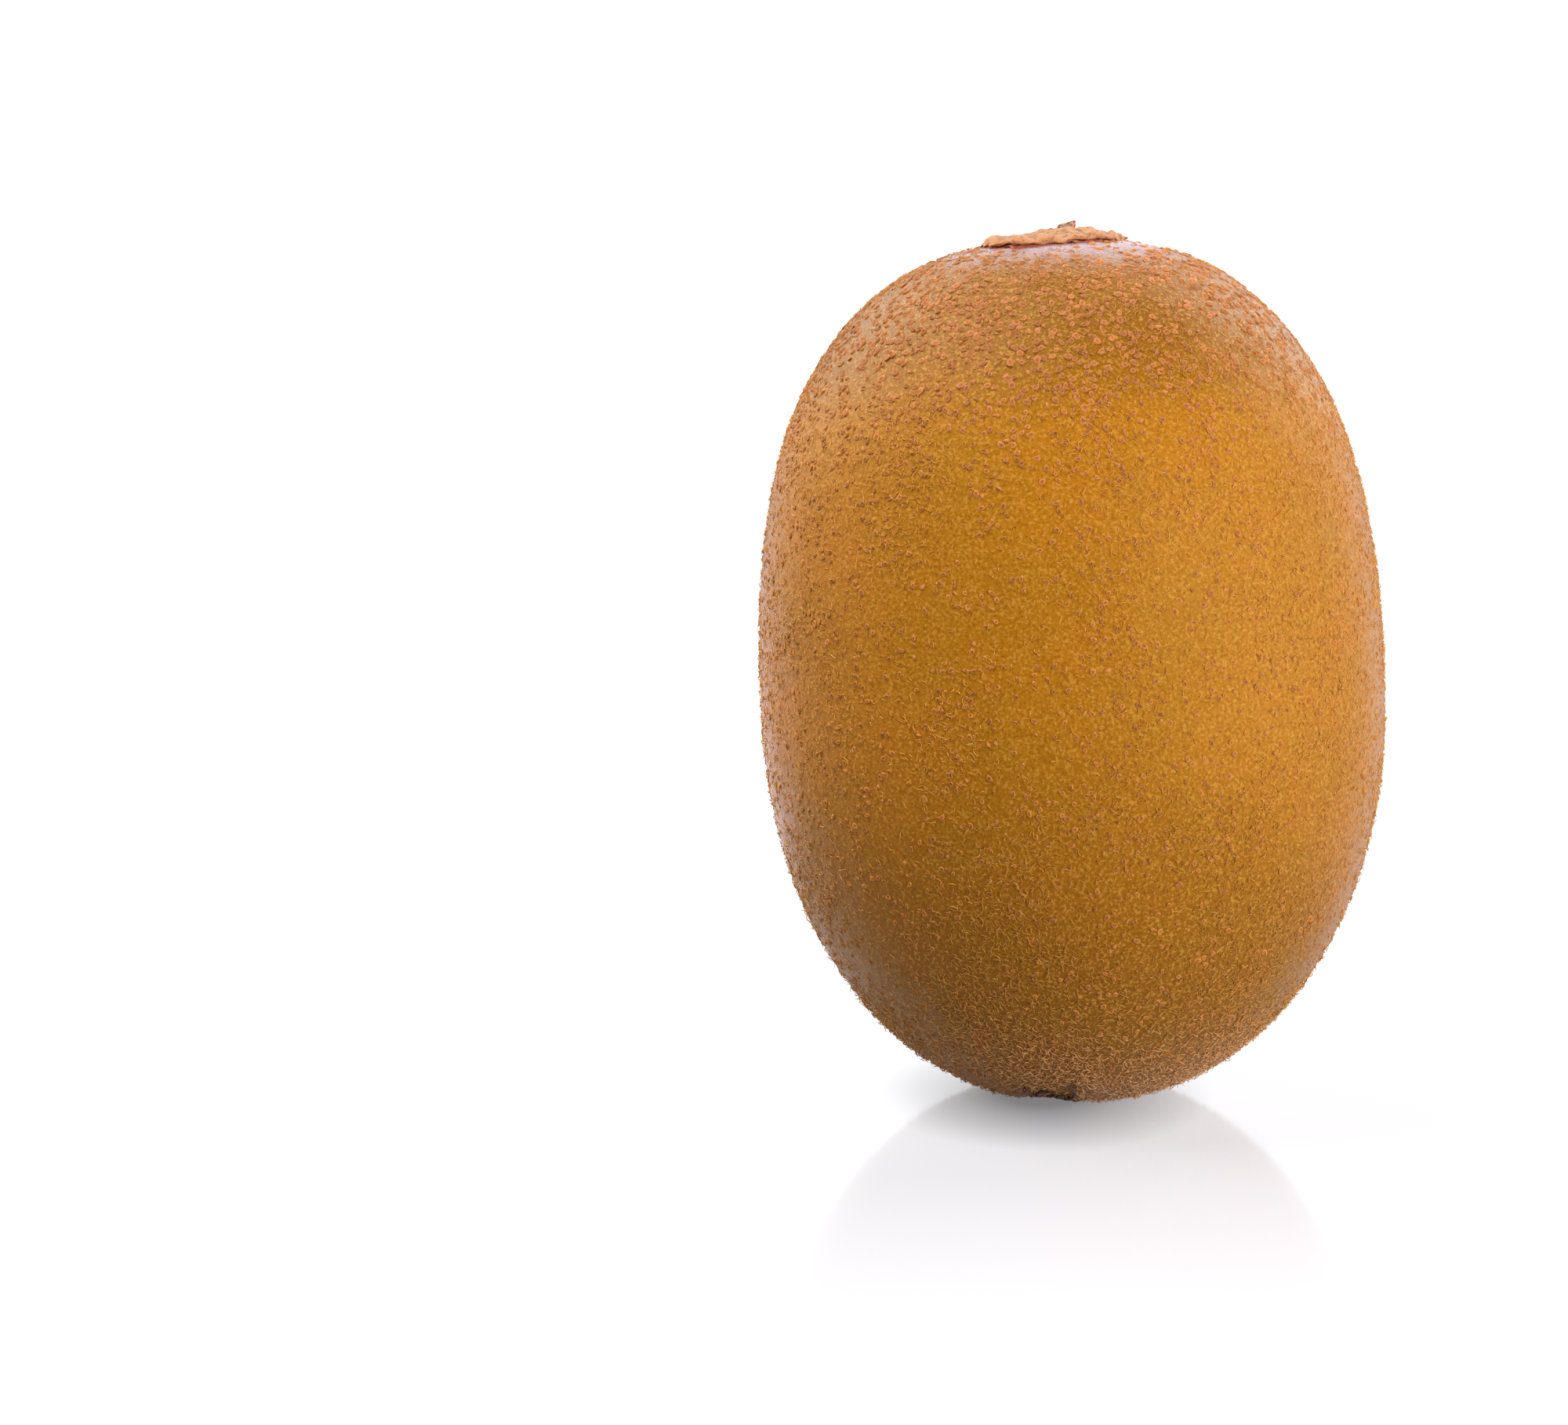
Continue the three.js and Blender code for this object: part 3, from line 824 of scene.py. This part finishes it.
def makeCalyx():
    segments = calyxSet["segments"]
    angles = np.arange(segments) * math.tau / segments
    shares = np.linspace(0, 0.97, calyxSet["topRings"])
    profile = [(share, 2.0) for share in shares] + calyxSet["lipRings"] + calyxSet["lowRings"]
    profile += [(0.5, -0.3), (0.0, -0.3)]
    rings = np.array([calyxPoints(share, level, angles) for share, level in profile])
    flat = rings.reshape(-1, 3)
    crumple = calyxSet["crumple"] * noiseAt(flat, calyxSet["crumpleSize"])
    crumple += calyxSet["fine"] * noiseAt(flat, calyxSet["fineSize"])
    edge = np.stack([np.cos(angles), np.sin(angles), angles * 0], axis=-1) * calyxForm["radius"]
    frayed = 1 + calyxSet["frayed"] / calyxForm["radius"] * noiseAt(edge, calyxSet["crumpleSize"])
    away = np.array([share**4 for share, _ in profile])[:, None]
    rings[:, :, :2] *= (1 + away * (frayed - 1))[:, :, None]
    crumple = crumple.reshape(len(profile), segments)
    crumple[0], crumple[-1] = crumple[0, 0], crumple[-1, 0]
    rings[:, :, 2] += crumple
    out, around = np.meshgrid([share for share, _ in profile], angles, indexing="ij")
    places = np.stack([np.cos(around), np.sin(around), out * calyxSet["fibreBend"]], axis=-1)
    fibre = noiseAt(places.reshape(-1, 3), calyxSet["fibreWide"]).reshape(out.shape)
    calyx = capped("calyx", stood(rings))
    mesh = calyx.data
    onLip = [level > calyxSet["lipLevel"] and share > calyxSet["lipFrom"] for share, level in profile]
    onLowRing = [level < calyxSet["lowRingTo"] for _, level in profile]
    inGap = [calyxSet["lowRingTo"] < level < calyxSet["gapTo"] for _, level in profile]
    for name, rings in (("lip", onLip), ("lowRing", onLowRing), ("gap", inGap)):
        setShare(mesh, name, spread([float(there) for there in rings], segments))
    setShare(mesh, "fibre", np.concatenate([fibre[0, :1], fibre[1:-1].ravel(), fibre[-1, :1]]))
    mesh.materials.append(makeCalyxMaterial())
    return calyx


calyx = makeCalyx()
print("calyx:", len(calyx.data.polygons), "faces")

# The stalk's stub in metres. Rings from its foot over the broken edge to its pith: radius, height,
# how ragged the ring is, and 1 where it is pith
stubSet = {
    "rings": [
        (0.00000, -0.00030, 0.0, 0), (0.00115, -0.00025, 0.0, 0), (0.00104, 0.00000, 0.1, 0),
        (0.00090, 0.00020, 0.2, 0), (0.00084, 0.00040, 0.3, 0), (0.00088, 0.00056, 0.8, 0),
        (0.00086, 0.00070, 1.0, 0), (0.00072, 0.00074, 1.0, 0), (0.00058, 0.00060, 0.8, 1),
        (0.00044, 0.00050, 0.8, 1), (0.00024, 0.00048, 0.6, 1), (0.00000, 0.00052, 0.0, 1),
    ],
    "segments": 44,
    "raggedness": 0.00024, "raggedSize": 0.00070,
    "tiltUp": (0.25, 0.40),  # the broken edge is higher at the right and at the back
    "low": 0.00048,  # how much lower it stands than the hump
}

stubFinish = {
    "bark": screenColour(78, 48, 40),
    "barkLight": screenColour(206, 138, 86),
    "pith": screenColour(176, 142, 122),
    "pithDark": screenColour(92, 64, 56),
    "fibreSize": 0.00025,
    "fibreDepth": 0.00006,
}


def makeStubMaterial():
    looks = {"Roughness": 0.8, "Specular IOR Level": 0.25, "Sheen Weight": 0.1}
    material, tree, shader, where = newMaterial("brokenStalk", looks)
    fibres = noiseNode(tree, where, stubFinish["fibreSize"], 3.0, 0.6)
    share = rangeNode(tree, fibres, 0.42, 0.6)
    bark = mixNode(tree, rangeNode(tree, fibres, 0.38, 0.52), stubFinish["bark"], stubFinish["barkLight"])
    pith = mixNode(tree, share, stubFinish["pithDark"], stubFinish["pith"])
    colour = mixNode(tree, shareNode(tree, "pith"), bark, pith)
    tree.links.new(colour, shader.inputs["Base Color"])
    bumpNode(tree, shader, fibres, stubFinish["fibreDepth"])
    return material


def makeStub():
    segments = stubSet["segments"]
    form = calyxForm
    angles = np.arange(segments) * math.tau / segments
    base = stemEndHeight(form["hollowX"], form["hollowY"]) + form["hump"] - stubSet["low"]
    rings = []
    for radius, height, ragged, _ in stubSet["rings"]:
        x, y = radius * np.cos(angles), radius * np.sin(angles)
        ring = np.stack([x, y, np.full(segments, height)], axis=-1)
        ring[:, 2] += ragged * (stubSet["tiltUp"][0] * x + stubSet["tiltUp"][1] * y)
        rough = noiseAt(ring, stubSet["raggedSize"])
        ring[:, 2] += stubSet["raggedness"] * ragged * rough
        ring[:, :2] *= 1 + 0.2 * ragged * rough[:, None]
        rings.append(ring + [form["hollowX"], form["hollowY"], base])
    stub = capped("stalkStub", stood(np.array(rings)[::-1]))
    pith = [float(p) for _, _, _, p in stubSet["rings"]][::-1]
    setShare(stub.data, "pith", spread(pith, segments))
    stub.data.materials.append(makeStubMaterial())
    return stub


stub = makeStub()
print("stub:", len(stub.data.polygons), "faces")

# The dried styles in metres: dark threads that curl out of a core in the dimple
styleSet = {
    "threads": 26, "steps": 16, "sides": 6, "seed": 31,
    "root": 0.0005, "shortest": 0.0011, "longest": 0.0040,
    "thick": 0.00016, "thin": 0.00008,
    "off": 0.00024,  # how far the threads lie off the skin
    "droop": 0.00020, "curl": 0.7,
    "lift": 0.00012,  # how much farther off the long threads end
    "longThreads": [  # where each one runs, in millimetres, and how thick its end is
        ([(-3.0, -4.2), (-4.0, -6.4), (-4.4, -7.7), (-4.65, -8.4)], 0.00024),
        ([(-2.9, -4.3), (-4.3, -7.4), (-3.5, -8.4), (-2.2, -8.7)], 0.00009),
        ([(-2.6, -4.3), (-2.1, -6.2), (-1.8, -7.4), (-1.6, -8.1)], 0.00015),
        ([(-2.4, -4.2), (-1.7, -5.4), (-1.2, -6.4), (-0.85, -7.3)], 0.00014),
        ([(-2.3, -4.1), (0.1, -8.0), (-0.6, -9.4), (-1.4, -10.2)], 0.00008),
    ],
    "coreRadius": 0.00115, "coreDepth": 0.00036, "coreRings": 8, "coreSegments": 40,
    "rough": 0.00008, "roughSize": 0.0003,
}

styleFinish = {
    "dark": screenColour(56, 28, 22),
    "brown": screenColour(132, 78, 48),
    "grainSize": 0.0002,
    "grainDepth": 0.00004,
}


def makeStyleMaterial():
    looks = {"Roughness": 0.7, "Specular IOR Level": 0.3, "Sheen Weight": 0.1}
    material, tree, shader, where = newMaterial("driedStyles", looks)
    grain = noiseNode(tree, where, styleFinish["grainSize"])
    share = rangeNode(tree, grain, 0.46, 0.66)
    colour = mixNode(tree, share, styleFinish["dark"], styleFinish["brown"])
    tree.links.new(colour, shader.inputs["Base Color"])
    bumpNode(tree, shader, grain, styleFinish["grainDepth"])
    return material


def threadRings(x, y, off, radius):
    # The rings of points round a thread whose middle runs through (x, y), off the skin
    middle = np.stack([x, y, blossomEndHeight(x, y) - off], axis=-1)
    along = np.gradient(middle, axis=0)
    along /= np.linalg.norm(along, axis=1)[:, None]
    side = np.cross(along, [0, 0, 1])
    side /= np.linalg.norm(side, axis=1)[:, None]
    up = np.cross(side, along)
    radius = radius * (1 + 0.35 * noiseAt(middle, styleSet["roughSize"]))
    radius[[0, -1]] = 0
    turns = -np.arange(styleSet["sides"]) * math.tau / styleSet["sides"]
    ring = side[:, None] * np.cos(turns)[:, None] + up[:, None] * np.sin(turns)[:, None]
    return middle[:, None] + ring * radius[:, None, None]


def shortThread(angle, random):
    # A thread that runs out along the skin, curls and droops at its end
    look = styleSet
    front = (1 - math.sin(angle)) / 2
    reach = look["shortest"] + (look["longest"] - look["shortest"]) * front**2 * random.uniform(0.4, 1)
    curl = look["curl"] * random.uniform(-1, 1)
    droop = look["droop"] * front * random.uniform(0, 1)
    shares = np.linspace(0, 1, look["steps"])
    away = look["root"] + (reach - look["root"]) * shares
    x = fruitForm["dimpleX"] + away * np.cos(angle + curl * shares**2)
    y = fruitForm["dimpleY"] + away * np.sin(angle + curl * shares**2)
    radius = look["thick"] + (look["thin"] - look["thick"]) * shares
    return threadRings(x, y, look["off"] + droop * smooth(shares, 0.6, 1), radius)


def longThread(corners, end):
    # A thread along a smooth curve that four points steer
    look = styleSet
    shares = np.linspace(0, 1, 2 * look["steps"])
    pulls = [(1 - shares) ** 3, 3 * shares * (1 - shares) ** 2, 3 * shares**2 * (1 - shares), shares**3]
    x, y = sum(pull[:, None] * np.array(corner) * 0.001 for pull, corner in zip(pulls, corners)).T
    radius = look["thick"] + (end - look["thick"]) * smooth(shares, 0.6, 0.95)
    return threadRings(x, y, look["off"] + look["lift"] * smooth(shares, 0.5, 1), radius)


def coreRings():
    look = styleSet
    angles = np.arange(look["coreSegments"]) * math.tau / look["coreSegments"]
    rings = []
    outward = np.linspace(0, 1, look["coreRings"])
    for side, shares in ((1, outward), (-1, outward[::-1] * 0.97)):
        for share in shares:
            x = fruitForm["dimpleX"] + share * look["coreRadius"] * np.cos(angles)
            y = fruitForm["dimpleY"] + share * look["coreRadius"] * np.sin(angles)
            z = blossomEndHeight(x, y) + 0.00005
            if side < 0:
                z -= look["coreDepth"] * (1 - 0.5 * share**2) + 0.0003
            ring = np.stack([x, y, z], axis=-1)
            ring[:, 2] += look["rough"] * noiseAt(ring, look["roughSize"]) * (0 < share)
            rings.append(ring)
    return np.array(rings)


def joined(name, pieces):
    bpy.ops.object.select_all(action="DESELECT")
    for piece in pieces:
        piece.select_set(True)
    bpy.context.view_layer.objects.active = pieces[0]
    bpy.ops.object.join()
    pieces[0].name = pieces[0].data.name = name
    return pieces[0]


def makeStyles():
    random = np.random.default_rng(styleSet["seed"])
    pieces = [capped("core", stood(coreRings()))]
    for i in range(styleSet["threads"]):
        angle = math.tau * (i + random.uniform(-0.4, 0.4)) / styleSet["threads"]
        pieces.append(capped(f"thread{i}", stood(shortThread(angle, random))))
    for corners, end in styleSet["longThreads"]:
        pieces.append(capped("longThread", stood(longThread(corners, end))))
    styles = joined("driedStyles", pieces)
    styles.data.materials.append(makeStyleMaterial())
    return styles


styles = makeStyles()
print("styles:", len(styles.data.polygons), "faces")

for piece in (skin, warts, *hairs):
    dress(piece, ["fruit"])
dress(calyx, ["calyx"])
dress(stub, ["stalk_stub"])
dress(styles, ["dried_styles"])

# Soft boxes: azimuth from the front, elevation, distance, width, height and power
lights = {
    "highLeft": {"azimuth": -88, "elevation": 66, "away": 2.0, "wide": 0.8, "tall": 0.8, "power": 31},
    "sideLeft": {"azimuth": -98, "elevation": 34, "away": 2.0, "wide": 0.8, "tall": 0.8, "power": 13},
    "frontRight": {"azimuth": 42, "elevation": 17, "away": 2.0, "wide": 0.7, "tall": 0.7, "power": 22.5},
    "sideRight": {"azimuth": 76, "elevation": 6, "away": 2.0, "wide": 0.8, "tall": 0.4, "power": 12.5},
    "backLeft": {"azimuth": -135, "elevation": 35, "away": 2.0, "wide": 1.2, "tall": 1.2, "power": 18},
    "backRight": {"azimuth": 138, "elevation": 30, "away": 2.0, "wide": 1.2, "tall": 1.2, "power": 17},
}


def makeFloor():
    half = studio["floorSize"] / 2
    low = -studio["floorLow"]
    corners = [(-half, -half, low), (half, -half, low), (half, half, low), (-half, half, low)]
    mesh = meshOf("floor", corners, [(0, 1, 2, 3)])
    floor = bpy.data.objects.new("floor", mesh)
    scene.collection.objects.link(floor)
    looks = {
        "Roughness": studio["floorRoughness"],
        "IOR": studio["floorIor"], "Specular IOR Level": studio["floorGloss"],
        "Emission Color": studio["glowColour"],
    }
    material, tree, shader, where = newMaterial("whiteFloor", looks)
    # To diffuse rays the floor is darker on the left than on the right: painted shade on the fruit's left
    # side
    isDiffuse = addNode(tree, "ShaderNodeLightPath").outputs["Is Diffuse Ray"]
    place = addNode(tree, "ShaderNodeSeparateXYZ", {0: where}).outputs
    reach = studio["bounceReach"]
    bounce = rangeNode(tree, place["X"], -reach, reach, studio["bounceLeft"], studio["bounceRight"])
    share = rangeNode(tree, isDiffuse, 0.0, 1.0, 1.0, bounce)
    tree.links.new(brightenNode(tree, studio["floorColour"], share), shader.inputs["Base Color"])
    # The floor's glow is painted light that rises towards the front, with a painted shadow under the
    # fruit's foot
    fromTo, levels = (studio["glowFrom"], studio["glowTo"]), (studio["floorGlow"], studio["frontGlow"])
    glow = mathNode(tree, "MULTIPLY", rangeNode(tree, place["Y"], *fromTo, *levels), share)
    fromFoot = addNode(tree, "ShaderNodeVectorMath", {
        0: where, 1: (-studio["shadeX"], -studio["shadeY"], 0.0),
    }).outputs[0]
    squeezed = addNode(tree, "ShaderNodeVectorMath", {
        0: fromFoot, 1: (studio["shadeWide"], 1.0, 1.0),
    }, operation="MULTIPLY").outputs[0]
    away = addNode(tree, "ShaderNodeVectorMath", {0: squeezed}, operation="LENGTH").outputs["Value"]
    shade = rangeNode(tree, away, studio["shadeFull"], studio["shadeTo"], studio["footShade"], 1.0)
    glow = mathNode(tree, "MULTIPLY", glow, shade)
    tree.links.new(glow, shader.inputs["Emission Strength"])
    mesh.materials.append(material)


def makeWorld():
    world = bpy.data.worlds.new("studio")
    scene.world = world
    world.use_nodes = True
    tree = world.node_tree
    tree.nodes.clear()
    isDiffuse = addNode(tree, "ShaderNodeLightPath").outputs["Is Diffuse Ray"]
    strength = rangeNode(tree, isDiffuse, 0.0, 1.0, studio["surround"], studio["ambient"])
    light = addNode(tree, "ShaderNodeBackground", {"Color": (1, 1, 1, 1), "Strength": strength})
    addNode(tree, "ShaderNodeOutputWorld", {"Surface": light.outputs[0]})


def lookAt(piece, target):
    piece.rotation_euler = (Vector(target) - piece.location).to_track_quat("-Z", "Y").to_euler()


def makeLights():
    middle = Vector((0, 0, stance["z"]))
    for name, look in lights.items():
        data = bpy.data.lights.new(name, "AREA")
        data.shape = "RECTANGLE"
        data.size, data.size_y = look["wide"], look["tall"]
        data.energy = look["power"]
        lamp = bpy.data.objects.new(name, data)
        azimuth, elevation = math.radians(look["azimuth"]), math.radians(look["elevation"])
        flat = look["away"] * math.cos(elevation)
        way = (flat * math.sin(azimuth), -flat * math.cos(azimuth), look["away"] * math.sin(elevation))
        lamp.location = middle + Vector(way)
        lookAt(lamp, middle)
        scene.collection.objects.link(lamp)


# The camera: metres and degrees. The fruit stands right of the middle and a little above it
cameraSet = {
    "away": 0.5, "elevation": 10.8, "aimHeight": 0.034, "left": 0.0231, "down": 0.0036,
    "lens": 142.6, "sensor": 36,
}


def makeCamera():
    data = bpy.data.cameras.new("camera")
    data.lens = cameraSet["lens"]
    data.sensor_width = cameraSet["sensor"]
    data.clip_start = 0.01
    camera = bpy.data.objects.new("camera", data)
    scene.collection.objects.link(camera)
    tilt = math.radians(cameraSet["elevation"])
    back = Vector((0, -math.cos(tilt), math.sin(tilt)))
    up = Vector((0, math.sin(tilt), math.cos(tilt)))
    middle = Vector((0, 0, cameraSet["aimHeight"]))
    camera.location = middle + back * cameraSet["away"]
    lookAt(camera, middle - Vector((cameraSet["left"], 0, 0)) - up * cameraSet["down"])
    scene.camera = camera


makeFloor()
makeWorld()
makeLights()
makeCamera()
scene.view_settings.view_transform = "Standard"
print("floor, lights and camera")
